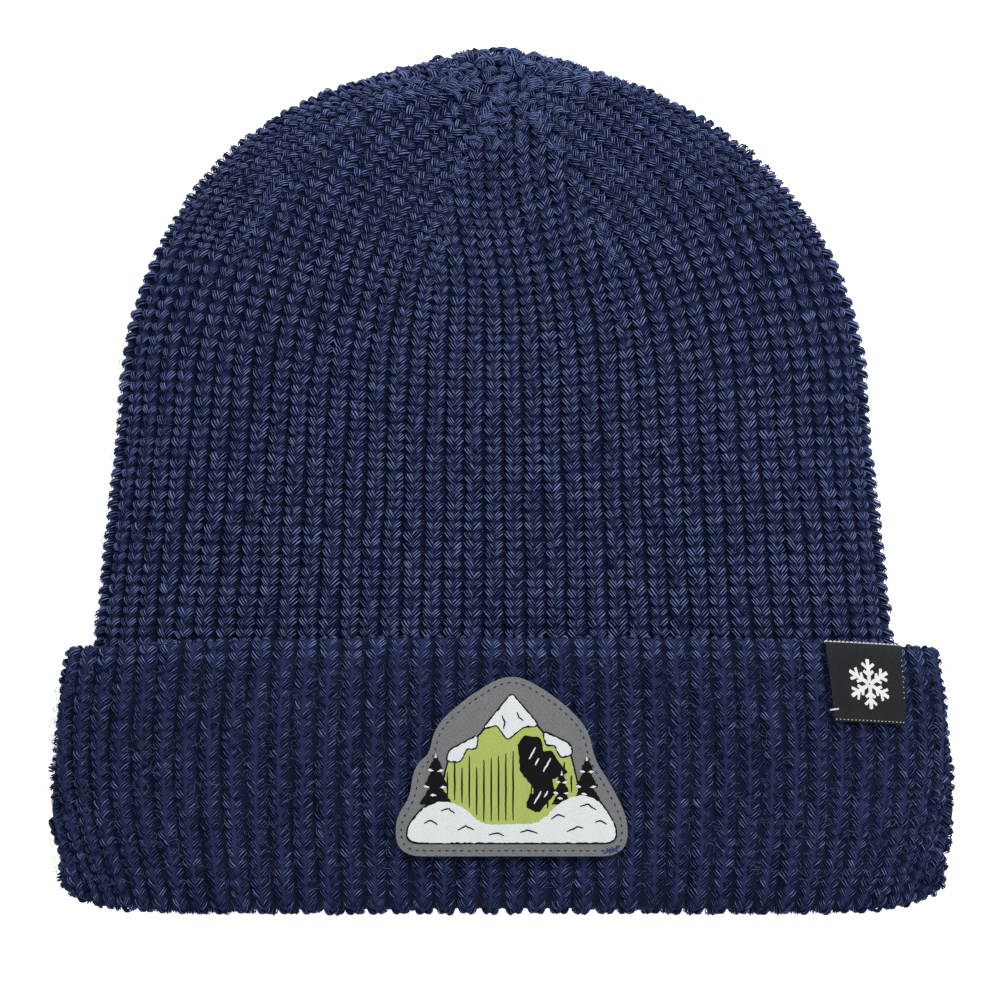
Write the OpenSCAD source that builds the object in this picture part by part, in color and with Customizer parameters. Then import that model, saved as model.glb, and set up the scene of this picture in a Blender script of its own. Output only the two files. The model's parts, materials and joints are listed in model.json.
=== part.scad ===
// Chunky rib-knit beanie with a turned-up cuff, a sewn badge and a folded side label.
// It lies flat on its back: X runs across, Y runs from the hem to the crown and Z is up,
// out of the front of the hat. The origin is at the middle of its box, on the ground.
//
// The whole hat is one knitted tube. A place on it is given by two counts: the rib column,
// from the middle of the front (positive to +X), and the course, counted from the line where
// the cuff ends. Courses above 0 climb the body and the crown. Courses below 0 go down inside
// the cuff, turn around the hem and climb the outside of the cuff.

/* [Knit] */
// Ribs around the hat
ribs = 80; // [72:4:88]
// Thickness of the rib fabric
fabric_t = 4.2; // [3.6:0.1:4.6]
// Air between two layers of fabric
layer_gap = 0.8; // [0.6:0.1:1.2]
// Squareness of the flattened tube's section, 2 is an ellipse
section_n = 3; // [2.4:0.1:4]

/* [Cuff] */
// Width of the cuff lying flat
cuff_w = 220; // [210:1:230]
// Height of the turned-up cuff
cuff_h = 67.5; // [60:0.5:75]
// Thickness of the hat at the cuff, lying flat
cuff_stack = 28; // [26:0.5:32]
// How far the cuff narrows at its top edge, each side
cuff_taper = 3; // [0:0.5:5]
// How far the hem rises at the side folds
corner_lift = 4; // [2:0.5:10]
// How far the cuff's top edge drops at the side folds
edge_bow = 3; // [0:0.5:5]

/* [Body and crown] */
// Width of the body where it leaves the cuff
body_w = 195; // [180:1:205]
// Width of the body where the crown starts
crown_w = 183; // [170:1:195]
// Length of the straight body above the cuff
body_h = 56.5; // [50:0.5:65]
// Length of the crown
crown_h = 86; // [80:1:95]
// Thickness of the crown, lying flat
crown_stack = 17; // [16:0.5:20]
// How far the gathered tip sits below the top edge
tip_drop = 10; // [9:0.5:15]

/* [Badge] */
// Width of the badge
badge_w = 56; // [45:1:65]
// Height of the badge
badge_h = 43; // [35:1:50]
// Thickness of one woven or felt layer
badge_t = 0.7; // [0.4:0.1:1]

/* [Label] */
// Width of the side label
label_w = 19.5; // [15:0.5:25]
// Length of the side label's front flap
label_h = 19; // [15:0.5:25]
// Thickness of the label's ribbon
label_t = 0.5; // [0.4:0.1:0.6]

/* [Hidden] */

navy = [0.14, 0.17, 0.29];
thread_navy = [0.10, 0.12, 0.22];
badge_grey = [0.50, 0.51, 0.53];
badge_green = [0.68, 0.74, 0.38];
label_black = [0.09, 0.10, 0.11];

// Levels and half sizes of the middle of the fabric. The underside settles flat on the
// ground, so everything is set lower by the sink and then stopped at the ground.
sink = 0.4;
half_t = fabric_t / 2;
layer_step = fabric_t + layer_gap;
stack_mid = (cuff_stack - sink) / 2;
total_h = cuff_h + body_h + crown_h;
hem_y = -total_h / 2;
cuff_y = hem_y + cuff_h;
tip_y = total_h / 2 - tip_drop;
cuff_half = cuff_w / 2 - half_t;
cuff_rise = (cuff_stack + sink) / 2 - half_t;
turn_r = layer_step / 2;
turn_y = hem_y + half_t + turn_r;
body_half = body_w / 2 - half_t;
crown_half = crown_w / 2 - half_t;
crown_reach = crown_h - half_t;
floor_z = half_t - sink;
edge_r = (crown_stack + sink) / 2 - half_t;
tip_z = floor_z + 2 * edge_r;
body_shift = -2.2;
shoulder_shift = -1.4;
tip_shift = 2;
crown_pinch = 1;
back_fullness = 0.4;

// Courses
body_courses = 22;
crown_courses = 38;
all_courses = body_courses + crown_courses;
band_courses = 26;
turn_courses = 4;
cuff_start = -band_courses - turn_courses;
cuff_courses = 26;
cuff_top = cuff_start - cuff_courses;
edge_courses = 2;
dart_course = body_courses + 13;
tip_course = all_courses - 0.7;
seam_end = tip_course - 4;
lift_courses = 12;

// Rib columns of the eight crown gores, and the lean of the gores to one side
gore_lean = 1.5;
dart_ribs = [-35, -24, -16, -5, 6, 16, 24, 35];
quarter = ribs / 4;
ridge_ribs = 0.2;
ridge_t = 0.8;
tie_ring = 1.9;
tie_r = 0.8;

// The badge: a die-cut shape that fits its width and height, drawn 56 by 43
badge_x = 2.2;
badge_y = cuff_y - 31;
badge_z = cuff_stack + 0.05;
badge_round = 1.5;
badge_outline = [
    [-26, -20], [26, -20], [26.5, -13], [22.5, -5], [18.5, 1], [17, 8.5],
    [11, 14.5], [2.5, 20], [-2.5, 20], [-11, 14.5], [-17, 9], [-18.5, 2],
    [-22, -0.5], [-23, -8], [-26.5, -13]
];
peak_shape = [[-19.2, -15], [18.2, -15], [13.5, 5], [7.5, 8], [0, 17], [-8, 7], [-14.5, 3.5]];
caps = [
    [[0, 17.4], [-6.8, 9.1], [-3.5, 10.2], [-1, 6.5], [2.6, 9.6], [6.4, 9.9]],
    [[-14.8, 3.9], [-15.6, 1.4], [-12.4, 1.2], [-10.8, 4.6], [-8.6, 4.2], [-8.2, 7.4]],
    [[13.9, 5.4], [7.6, 8.4], [8.4, 5], [10.4, 5.4], [11.8, 2.2], [14.5, 3]]
];
bank_shape = [
    [-24.8, -18.2], [24.8, -18.2], [25, -14.5], [21, -8], [16, -6.5], [11, -9],
    [7, -13.5], [-7, -14], [-11, -10], [-16, -8], [-21, -9.5], [-25, -14.5]
];
pine_half = [[4, 0], [1.5, 4], [3, 4], [1, 8], [2, 8], [0, 12]];
pines = [[-18.2, -9, 1], [18, -8.5, 0.9], [12, -9, 0.65]];
art_t = 0.25;
seam_inset = 1;
seam_t = 0.4;

// The side label wraps the cuff's top edge
label_rib = 15.8;
label_ribs = 3.5;
label_back = 12;
label_r = half_t + 0.15 + label_t / 2;
label_rows = concat(
    [for (k = [0 : 4]) [(k / 4 - 1) * (label_h - label_r - label_t / 2), 0]],
    [for (a = [30 : 30 : 150]) [0, a]],
    [for (k = [0 : 3]) [-label_back * k / 3, 180]]
);
emblem_r = 6;
emblem_bar = 0.9;
emblem_lift = 0.15;

function sgn(v) = v < 0 ? -1 : 1;
function mix(a, b, t) = a + (b - a) * t;
function clamp01(t) = min(1, max(0, t));
function smooth(t) = let (q = clamp01(t)) q * q * (3 - 2 * q);
function unit(v) = v / norm(v);

// How far across the flattened tube a rib lies, 0 at the middle and 1 at the fold
function reach(c) = let (g = abs(c) / quarter) g * (1.05 - 0.05 * pow(g, 8));
// Position of a rib in the section: across and up, each from -1 to 1
function wrap(c) = c > 2 * quarter ? c - 4 * quarter : c < -2 * quarter ? c + 4 * quarter : c;
function across(c) = let (w = wrap(c), b = abs(w) > quarter)
    sgn(w) * min(1, reach(b ? 2 * quarter - abs(w) : abs(w)));
function rise(c) = let (x = abs(across(c)))
    (abs(wrap(c)) > quarter ? -1 : 1) * pow(max(0, 1 - pow(x, section_n)), 1 / section_n);

// How much of a course's own height a rib takes, from 1 at the middle to 0 at the side fold
function lean(c) = let (w = abs(wrap(c)), g = (w > quarter ? 2 * quarter - w : w) / quarter)
    pow((1 + cos(180 * g)) / 2, w > quarter ? back_fullness : 1);

// One point of a course: middle, half width, and the [y, z] of its front, sides and back
function ring(c, mid, half, front, side, back) =
    let (up = rise(c), end = up < 0 ? back : front)
    [mid + half * across(c), mix(side[0], end[0], lean(c)), mix(side[1], end[1], abs(up))];

// The cuff and the band inside it: p runs from 0 at the hem turn to 1 at the cuff line
function hem_lift(c) = corner_lift * pow(abs(across(c)), 14);
function cuff_width(p) = cuff_half - cuff_taper * pow(2 * p - 0.9, 2) / 1.21;
function turned(c, p, bow, inset, half, mid) =
    let (y = mix(turn_y + hem_lift(c), cuff_y - bow * pow(abs(across(c)), 3), p), h = cuff_rise - inset)
    ring(c, mid, half, [y, stack_mid + h], [y, stack_mid], [y, stack_mid - h]);
function cuff_point(c, p) = turned(c, p, edge_bow, 0, cuff_width(p), 0);
function band_point(c, p) =
    turned(c, p, 0, layer_step, mix(cuff_width(0) - layer_step, body_half, p), p * body_shift);
function turn_point(c, q) =
    let (a = band_point(c, 0), b = cuff_point(c, 0), m = (a + b) / 2)
    m + cos(180 * q) * (a - m) - [0, turn_r * sin(180 * q), 0];

// The body and the crown: s is the course, v its share of the way to the tip
function front_y(v) = mix(cuff_y, tip_y, v * (1.07 - 0.07 * v));
function front_z(v) = mix(stack_mid + cuff_rise - layer_step, tip_z, v);
function crown_turn(s) = let (t = clamp01((s - body_courses) / crown_courses)) 90 * t * (0.8 + 0.2 * t);
function side_y(s) = let (t = clamp01((s - body_courses) / crown_courses))
    cuff_y + body_h * min(1, s / body_courses) + crown_reach * sin(crown_turn(s))
    - (tip_drop - half_t) * pow(t, 6);
function side_x(s) =
    mix(body_half, crown_half, min(1, s / body_courses)) * pow(cos(crown_turn(s)), crown_pinch);
// The back course runs flat on the ground, around the top edge and down to the tip
back_flat = total_h / 2 - half_t - edge_r - cuff_y;
back_arc = PI * edge_r;
back_over = total_h / 2 - half_t - edge_r - tip_y;
back_way = back_flat + back_arc + back_over;
function back_point(s) =
    let (q = back_way * s / all_courses, a = 180 * clamp01((q - back_flat) / back_arc))
    [cuff_y + min(q, back_flat) + edge_r * sin(a) - max(0, q - back_flat - back_arc),
     floor_z + edge_r * (1 - cos(a)) + layer_step * pow(1 - clamp01(s / lift_courses), 2)];
function middle_x(v) =
    body_shift + shoulder_shift * smooth((v - 0.55) / 0.25)
    + (tip_shift - shoulder_shift) * smooth((v - 0.78) / 0.22);
function body_point(c, s) =
    let (v = s / all_courses, f = [front_y(v), front_z(v)], b = back_point(s))
    ring(c, middle_x(v), side_x(s), f, [side_y(s), (f[1] + b[1]) / 2], b);

// The middle of the fabric anywhere on the hat, and its outward direction there
function fabric(c, s) =
    s >= 0 ? body_point(c, s)
    : s >= -band_courses ? band_point(c, 1 + s / band_courses)
    : s >= cuff_start ? turn_point(c, (-band_courses - s) / turn_courses)
    : cuff_point(c, (cuff_start - s) / cuff_courses);
function normal(c, s) = let (e = 0.2, s_low = s > 0 && s < e ? 0 : s - e)
    unit(cross(fabric(c + e, s) - fabric(c - e, s), fabric(c, s + e) - fabric(c, s_low)));
function grounded(p) = [p[0], p[1], max(0, p[2])];
function at_depth(c, s, d) = grounded(fabric(c, s) + d * normal(c, s));

// A closed solid between two grids of points: top and under are lists of equal rows.
// A full slab closes on itself along its rows.
module slab(top, under, full = false) {
    rows = len(top);
    cols = len(top[0]);
    wide = full ? cols : cols - 1;
    points = [for (grid = [top, under], row = grid) each row];
    function at(k, i, j) = k * rows * cols + i * cols + j % cols;
    function quad(a, b, c, d) = [[a, b, c], [a, c, d]];
    faces = [
        for (i = [0 : rows - 2], j = [0 : wide - 1])
        each concat(quad(at(0, i, j), at(0, i + 1, j), at(0, i + 1, j + 1), at(0, i, j + 1)),
                    quad(at(1, i, j), at(1, i, j + 1), at(1, i + 1, j + 1), at(1, i + 1, j))),
        for (j = [0 : wide - 1])
        each concat(quad(at(0, 0, j), at(0, 0, j + 1), at(1, 0, j + 1), at(1, 0, j)),
                    quad(at(0, rows - 1, j), at(1, rows - 1, j),
                         at(1, rows - 1, j + 1), at(0, rows - 1, j + 1))),
        if (!full)
        for (i = [0 : rows - 2])
        each concat(quad(at(0, i, 0), at(1, i, 0), at(1, i + 1, 0), at(0, i + 1, 0)),
                    quad(at(0, i, cols - 1), at(0, i + 1, cols - 1),
                         at(1, i + 1, cols - 1), at(1, i, cols - 1)))
    ];
    polyhedron(points, faces);
}

// A closed piece of fabric between two depths, from rib c0 to c1 and from course s0 to s1.
// round_start draws its first course towards the middle of its thickness.
module fabric_piece(c0, c1, c_steps, s0, s1, s_steps, low, high, round_start = 0) {
    full = c1 - c0 >= ribs;
    last = full ? c_steps - 1 : c_steps;
    function depth(d, i) = mix(d, (low + high) / 2, i == 0 ? round_start : 0);
    function grid(d) = [
        for (i = [0 : s_steps])
        [for (j = [0 : last]) at_depth(mix(c0, c1, j / c_steps), mix(s0, s1, i / s_steps), depth(d, i))]
    ];
    slab(grid(high), grid(low), full);
}

module knit_ring(s0, s1, s_steps, round_start = 0) {
    color(navy)
    fabric_piece(-ribs / 2, ribs / 2, ribs, s0, s1, s_steps, -half_t, half_t, round_start);
}

module inner_band() {
    knit_ring(-band_courses, 0, 5);
}

module hem_fold() {
    knit_ring(cuff_start, -band_courses, 7);
}

module cuff() {
    knit_ring(cuff_top + edge_courses, cuff_start, 6);
}

module cuff_bind_off() {
    knit_ring(cuff_top, cuff_top + edge_courses, 2, 0.6);
}

module knit_body() {
    knit_ring(0, dart_course, 9);
}

// One gore of the crown, from the dart on its left to the dart on its right
module crown_gore(left) {
    wide = dart_ribs[(left + 1) % 8] + (left == 7 ? ribs : 0) - dart_ribs[left];
    start = dart_ribs[left] + gore_lean;
    color(navy)
    fabric_piece(start, start + wide, wide, dart_course, tip_course, 10, -half_t, half_t);
}

module crown_back_left() {
    crown_gore(0);
}

module crown_left() {
    crown_gore(1);
}

module crown_front_left() {
    crown_gore(2);
}

module crown_front() {
    crown_gore(3);
}

module crown_front_right() {
    crown_gore(4);
}

module crown_right() {
    crown_gore(5);
}

module crown_back_right() {
    crown_gore(6);
}

module crown_back() {
    crown_gore(7);
}

// Linking seams run on the inside of the hat as low ridges
module inside_ridge(c, s0, s1, s_steps) {
    color(thread_navy)
    fabric_piece(c - ridge_ribs, c + ridge_ribs, 1, s0, s1, s_steps, -half_t - ridge_t, -half_t);
}

module crown_dart_seams() {
    for (rib = dart_ribs) inside_ridge(rib + gore_lean, dart_course, seam_end, 8);
}

module back_seam() {
    inside_ridge(ribs / 2, -band_courses, dart_course, 14);
}

// The last stitches of the crown are drawn together by a turn of yarn
module crown_tie() {
    color(thread_navy)
    translate([middle_x(1), tip_y, tip_z + half_t - tie_r / 2])
    rotate_extrude($fn = 32)
    translate([tie_ring, 0])
    circle(tie_r, $fn = 16);
}

module badge_shape(inset) {
    scale([badge_w / 56, badge_h / 43])
    offset(r = badge_round - inset, $fn = 24)
    polygon(badge_outline);
}

module badge_layer(level, thick) {
    translate([badge_x, badge_y, badge_z + level])
    linear_extrude(thick)
    children();
}

module badge_art(points) {
    scale([badge_w / 56, badge_h / 43])
    polygon(points);
}

module snow_caps() {
    for (cap = caps) badge_art(cap);
}

module pine_art() {
    for (p = pines)
    scale([badge_w / 56, badge_h / 43])
    translate([p[0], p[1]])
    scale(p[2])
    for (side = [0, 1]) mirror([side, 0]) polygon(concat([[0, 0]], pine_half));
}

module badge_backing() {
    color("dimgray") badge_layer(0, badge_t) badge_shape(0.5);
}

module badge_ground() {
    color(badge_grey) badge_layer(badge_t, badge_t) badge_shape(0);
}

module badge_peak() {
    color(badge_green)
    badge_layer(2 * badge_t, art_t)
    difference() {
        badge_art(peak_shape);
        snow_caps();
        badge_art(bank_shape);
        pine_art();
    }
}

module badge_snow() {
    color("white")
    badge_layer(2 * badge_t, art_t) {
        badge_art(bank_shape);
        snow_caps();
    }
}

module badge_pines() {
    color(label_black)
    badge_layer(2 * badge_t, art_t)
    difference() {
        pine_art();
        badge_art(bank_shape);
    }
}

module badge_stitching() {
    color("dimgray")
    badge_layer(2 * badge_t, art_t)
    difference() {
        badge_shape(seam_inset);
        badge_shape(seam_inset + seam_t);
    }
}

// A loose end of the sewing thread at the badge's lower right corner
module badge_tack() {
    color("royalblue")
    translate([badge_x + badge_w / 2 - 3, badge_y - badge_h / 2 + 0.8, badge_z + 2 * badge_t + 0.3])
    rotate([0, 90, 50])
    cylinder(h = 2.4, r = 0.3, $fn = 16);
}

// A place on the cuff at a height y, and its direction out of the hat
function cuff_edge_y(c) = cuff_y - edge_bow * pow(abs(across(c)), 3) - half_t;
function cuff_at(c, y) =
    let (y0 = turn_y + hem_lift(c), y1 = cuff_edge_y(c) + half_t) cuff_point(c, (y - y0) / (y1 - y0));
function cuff_out(c, y) = let (t = cuff_at(c + 0.2, y) - cuff_at(c - 0.2, y)) unit([-t[2], 0, t[0]]);
function label_point(c, row, extra) =
    let (y = cuff_edge_y(c), a = row[1], r = label_r + extra)
    cuff_at(c, y + row[0]) + [0, r * sin(a), 0] + r * cos(a) * cuff_out(c, y);

module side_label() {
    steps = 6;
    function skin(extra) = [
        for (row = label_rows)
        [for (j = [0 : steps]) label_point(label_rib + label_ribs * (j / steps - 0.5), row, extra)]
    ];
    color(label_black) slab(skin(label_t / 2), skin(-label_t / 2));
}

// Puts flat art on the label's front flap, down from the top of the cuff
module on_label(down) {
    y = cuff_edge_y(label_rib) - down;
    out = cuff_out(label_rib, y);
    translate(cuff_at(label_rib, y) + (label_r + label_t / 2 + emblem_lift) * out)
    rotate([0, atan2(out[0], out[2]), 0])
    linear_extrude(art_t)
    children();
}

module label_emblem() {
    color("white")
    on_label(label_h / 2 - half_t)
    for (a = [0 : 60 : 300])
    rotate(a + 30) {
        translate([0, -emblem_bar / 2]) square([emblem_r, emblem_bar]);
        for (side = [-1, 1])
        translate([emblem_r * 0.55, 0])
        rotate(side * 50)
        translate([0, -emblem_bar / 3]) square([emblem_r * 0.4, emblem_bar * 0.66]);
    }
}

module label_stitching() {
    color("lightgray")
    on_label(label_h - 5)
    square([label_w - 1.6, seam_t], center = true);
}

inner_band();
hem_fold();
cuff();
cuff_bind_off();
knit_body();
crown_front();
crown_front_right();
crown_right();
crown_back_right();
crown_back();
crown_back_left();
crown_left();
crown_front_left();
crown_dart_seams();
crown_tie();
back_seam();
badge_backing();
badge_ground();
badge_peak();
badge_snow();
badge_pines();
badge_stitching();
badge_tack();
side_label();
label_emblem();
label_stitching();
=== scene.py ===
import json
import math

import bpy
import numpy as np
from mathutils import Vector
from mathutils.geometry import delaunay_2d_cdt
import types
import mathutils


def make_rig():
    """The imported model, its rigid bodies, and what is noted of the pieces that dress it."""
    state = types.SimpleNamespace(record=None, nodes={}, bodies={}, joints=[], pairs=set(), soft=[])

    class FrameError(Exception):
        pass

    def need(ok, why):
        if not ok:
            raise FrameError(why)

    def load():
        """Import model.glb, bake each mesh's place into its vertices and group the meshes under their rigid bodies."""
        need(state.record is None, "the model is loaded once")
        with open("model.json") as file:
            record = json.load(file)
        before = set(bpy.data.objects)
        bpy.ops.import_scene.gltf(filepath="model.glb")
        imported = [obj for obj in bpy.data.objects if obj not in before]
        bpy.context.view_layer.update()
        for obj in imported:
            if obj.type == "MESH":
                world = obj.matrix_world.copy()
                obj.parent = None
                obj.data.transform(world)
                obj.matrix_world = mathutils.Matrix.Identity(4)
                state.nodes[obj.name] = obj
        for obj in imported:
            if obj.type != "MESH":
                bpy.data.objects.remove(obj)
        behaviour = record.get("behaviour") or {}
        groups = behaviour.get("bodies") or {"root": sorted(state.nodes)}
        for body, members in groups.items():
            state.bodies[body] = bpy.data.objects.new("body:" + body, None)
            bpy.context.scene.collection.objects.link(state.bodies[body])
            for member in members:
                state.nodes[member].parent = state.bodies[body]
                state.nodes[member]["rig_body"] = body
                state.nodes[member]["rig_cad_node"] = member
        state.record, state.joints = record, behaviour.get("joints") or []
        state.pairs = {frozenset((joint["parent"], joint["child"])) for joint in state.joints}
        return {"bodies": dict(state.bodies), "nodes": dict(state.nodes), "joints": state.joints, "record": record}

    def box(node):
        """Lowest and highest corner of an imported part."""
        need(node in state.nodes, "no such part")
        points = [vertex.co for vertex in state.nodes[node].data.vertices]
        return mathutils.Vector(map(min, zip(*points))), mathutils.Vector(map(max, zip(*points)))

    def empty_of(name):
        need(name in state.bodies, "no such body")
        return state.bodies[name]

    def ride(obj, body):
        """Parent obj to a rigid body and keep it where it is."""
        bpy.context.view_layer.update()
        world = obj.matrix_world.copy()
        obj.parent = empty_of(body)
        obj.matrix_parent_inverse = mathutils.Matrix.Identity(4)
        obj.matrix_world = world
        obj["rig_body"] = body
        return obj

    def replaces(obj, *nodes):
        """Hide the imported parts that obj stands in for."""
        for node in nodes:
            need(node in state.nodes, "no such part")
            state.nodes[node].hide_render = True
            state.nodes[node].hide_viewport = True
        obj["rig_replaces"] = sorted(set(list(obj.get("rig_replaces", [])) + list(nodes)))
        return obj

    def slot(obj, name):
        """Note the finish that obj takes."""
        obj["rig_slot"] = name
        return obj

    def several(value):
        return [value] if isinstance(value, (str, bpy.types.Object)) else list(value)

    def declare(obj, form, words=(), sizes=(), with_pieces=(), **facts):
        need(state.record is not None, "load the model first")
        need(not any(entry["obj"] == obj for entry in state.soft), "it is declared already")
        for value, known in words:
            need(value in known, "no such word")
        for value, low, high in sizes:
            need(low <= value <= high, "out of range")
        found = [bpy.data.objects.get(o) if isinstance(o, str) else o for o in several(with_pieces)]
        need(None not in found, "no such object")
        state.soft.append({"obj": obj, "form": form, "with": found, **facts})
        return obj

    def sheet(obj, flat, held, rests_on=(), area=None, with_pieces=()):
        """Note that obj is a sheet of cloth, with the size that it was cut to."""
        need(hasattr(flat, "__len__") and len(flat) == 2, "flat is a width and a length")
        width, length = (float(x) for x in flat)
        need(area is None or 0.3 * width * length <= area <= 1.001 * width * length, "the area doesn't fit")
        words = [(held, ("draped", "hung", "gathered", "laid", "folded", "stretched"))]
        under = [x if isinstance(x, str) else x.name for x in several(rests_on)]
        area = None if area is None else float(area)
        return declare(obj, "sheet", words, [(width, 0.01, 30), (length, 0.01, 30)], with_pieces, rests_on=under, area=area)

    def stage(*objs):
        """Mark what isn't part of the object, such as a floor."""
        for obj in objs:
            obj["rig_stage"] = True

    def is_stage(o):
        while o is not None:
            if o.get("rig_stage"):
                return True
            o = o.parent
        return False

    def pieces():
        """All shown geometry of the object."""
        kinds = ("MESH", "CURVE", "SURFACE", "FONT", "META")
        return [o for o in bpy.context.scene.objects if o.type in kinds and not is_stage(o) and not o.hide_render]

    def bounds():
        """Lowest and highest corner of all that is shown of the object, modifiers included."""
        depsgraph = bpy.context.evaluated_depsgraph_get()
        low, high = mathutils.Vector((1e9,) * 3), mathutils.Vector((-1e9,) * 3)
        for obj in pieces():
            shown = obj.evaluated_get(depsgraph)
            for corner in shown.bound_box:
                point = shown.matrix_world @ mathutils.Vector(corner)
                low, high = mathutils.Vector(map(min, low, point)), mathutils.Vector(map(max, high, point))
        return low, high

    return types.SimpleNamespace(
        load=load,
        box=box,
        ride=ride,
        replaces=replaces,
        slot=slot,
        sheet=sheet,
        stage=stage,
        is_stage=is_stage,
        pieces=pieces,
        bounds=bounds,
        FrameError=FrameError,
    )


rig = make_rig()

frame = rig.load()
cad_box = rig.bounds()

MM = 0.001
rng = np.random.default_rng(11)


# ---- sizes, in millimetres
def box_mm(node):
    """Lowest and highest corner of a CAD node."""
    low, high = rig.box(node)
    return np.array(low) / MM, np.array(high) / MM


cuff_low, cuff_high = box_mm("cuff")
body_low, body_high = box_mm("knit_body")
tie_low, tie_high = box_mm("crown_tie")
hat_low, hat_high = np.array(cad_box[0]) / MM, np.array(cad_box[1]) / MM

# The driving sizes of the CAD model that can't be measured on its nodes
RIBS = 80
FABRIC_T = 4.2
LAYER_STEP = FABRIC_T + 0.8
SINK = 0.4
SECTION_N = 3
CUFF_TAPER = 3
CORNER_LIFT = 4
EDGE_BOW = 3
CROWN_STACK = 17
BODY_H = 56.5
CROWN_NARROWER = 12
BODY_SHIFT = -2.2
SHOULDER_SHIFT = -1.4
TIP_SHIFT = 2
CROWN_PINCH = 1
BACK_FULLNESS = 0.4
HEM_SWEEP = 1.6
# How far the yarn of the crown's rim stands over the CAD model's smooth top edge
RIM_FLUFF = 1.2

half_t = FABRIC_T / 2
cuff_stack = cuff_high[2]
stack_mid = (cuff_stack - SINK) / 2
hem_y = hat_low[1]
top_y = hat_high[1] + RIM_FLUFF
cuff_y = body_low[1]
tip_y = (tie_low[1] + tie_high[1]) / 2
cuff_half = (cuff_high[0] - cuff_low[0]) / 2 - half_t
cuff_rise = (cuff_stack + SINK) / 2 - half_t
turn_r = LAYER_STEP / 2
turn_y = hem_y + half_t + turn_r
body_half = (body_high[0] - body_low[0]) / 2 - half_t
crown_half = body_half - CROWN_NARROWER / 2
crown_reach = top_y - cuff_y - BODY_H - half_t
floor_z = half_t - SINK
edge_r = (CROWN_STACK + SINK) / 2 - half_t
tip_z = floor_z + 2 * edge_r

# Courses, counted from the cuff line: up the body and crown, or down the band, round the hem
# and up the outside of the cuff
BODY_COURSES = 22
ALL_COURSES = 60
BAND_END = -26
CUFF_START = -30
CUFF_TOP = -56
EDGE_START = CUFF_TOP + 2
DART_COURSE = 35
LIFT_COURSES = 12
# A rib's width and a stitch's height where nothing stretches them, and the share of the knitted rectangle
# that the darts leave
RIB_W = 5.2
STITCH_H = 2.35
DARTED_SHARE = 0.85

# The eight gores: node, middle rib and number of ribs
GORES = [
    ("crown_front", 2, 11), ("crown_front_right", 12.5, 10), ("crown_right", 21.5, 8),
    ("crown_back_right", 31, 11), ("crown_back", 41.5, 10), ("crown_back_left", -28, 11),
    ("crown_left", -18.5, 8), ("crown_front_left", -9, 11),
]


# ---- the knitted tube
def mix(a, b, t):
    return a + (b - a) * t


def smooth(t):
    q = np.clip(t, 0, 1)
    return q * q * (3 - 2 * q)


def unit(v):
    return v / np.maximum(np.linalg.norm(v, axis=-1, keepdims=True), 1e-9)


def wrap(c):
    return (c + RIBS / 2) % RIBS - RIBS / 2


def share(c):
    """How far a rib is from the middle of its side, 0, to the side fold, 1."""
    w = np.abs(wrap(c))
    return np.where(w > RIBS / 4, RIBS / 2 - w, w) / (RIBS / 4)


def across(c):
    """Where a rib lies across the width of the flat hat, from -1 to 1."""
    g = share(c)
    return np.sign(wrap(c)) * np.minimum(1, g * (1.05 - 0.05 * g**8))


def on_back(c):
    return np.abs(wrap(c)) > RIBS / 4


def rise(c):
    """Height of a rib in the section of the flat hat, from -1 at the back to 1 at the front."""
    up = np.maximum(0, 1 - np.abs(across(c)) ** SECTION_N) ** (1 / SECTION_N)
    return np.where(on_back(c), -up, up)


def ring(c, mid, half, front, side, back):
    """A point of a course from the (y, z) of its front, its side folds and its back."""
    behind = on_back(c)
    lean = (1 + np.cos(np.pi * share(c))) / 2
    lean = np.where(behind, lean**BACK_FULLNESS, lean)
    end_y = np.where(behind, back[0], front[0])
    end_z = np.where(behind, back[1], front[1])
    x = mid + half * across(c)
    return np.stack([x, mix(side[0], end_y, lean), mix(side[1], end_z, np.abs(rise(c)))], -1)


def cuff_width(p):
    return cuff_half - CUFF_TAPER * (2 * p - 0.9) ** 2 / 1.21


def swept(c, p):
    """Near the hem's corners the ribs lean in, and ribs of the back come round the side."""
    w = np.abs(wrap(c))
    lean = HEM_SWEEP * (1 - p) ** 3
    front = w - lean * (w / (RIBS / 4)) ** 4
    behind = RIBS / 2 - (RIBS / 2 - w) * (1 + lean / (RIBS / 4))
    return np.sign(wrap(c)) * np.where(w > RIBS / 4, behind, front)


def foot_line(c):
    """Height of the hem, which lifts at its corners."""
    return turn_y + CORNER_LIFT * np.abs(across(c)) ** 14


def edge_line(c, bow):
    """Height of the cuff's edge, which bows down to its corners."""
    return cuff_y - bow * np.abs(across(c)) ** 3


def turned(c, p, bow, inset, half, mid):
    """A point of the band or the cuff, from the hem at p = 0 to the cuff line at p = 1."""
    c = swept(c, p)
    y = mix(foot_line(c), edge_line(c, bow), p)
    high = cuff_rise - inset
    return ring(c, mid, half, (y, stack_mid + high), (y, stack_mid), (y, stack_mid - high))


def cuff_point(c, p):
    return turned(c, p, EDGE_BOW, 0, cuff_width(p), 0)


def band_point(c, p):
    half = mix(cuff_width(0) - LAYER_STEP, body_half, p)
    return turned(c, p, 0, LAYER_STEP, half, p * BODY_SHIFT)


def turn_point(c, q):
    """A point of the hem's fold, from the band at q = 0 to the cuff at q = 1."""
    a, b = band_point(c, 0), cuff_point(c, 0)
    middle = (a + b) / 2
    drop = turn_r * np.sin(np.pi * q)
    turn = np.cos(np.pi * q)[..., None] * (a - middle)
    return middle + turn - np.stack([0 * drop, drop, 0 * drop], -1)


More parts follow.
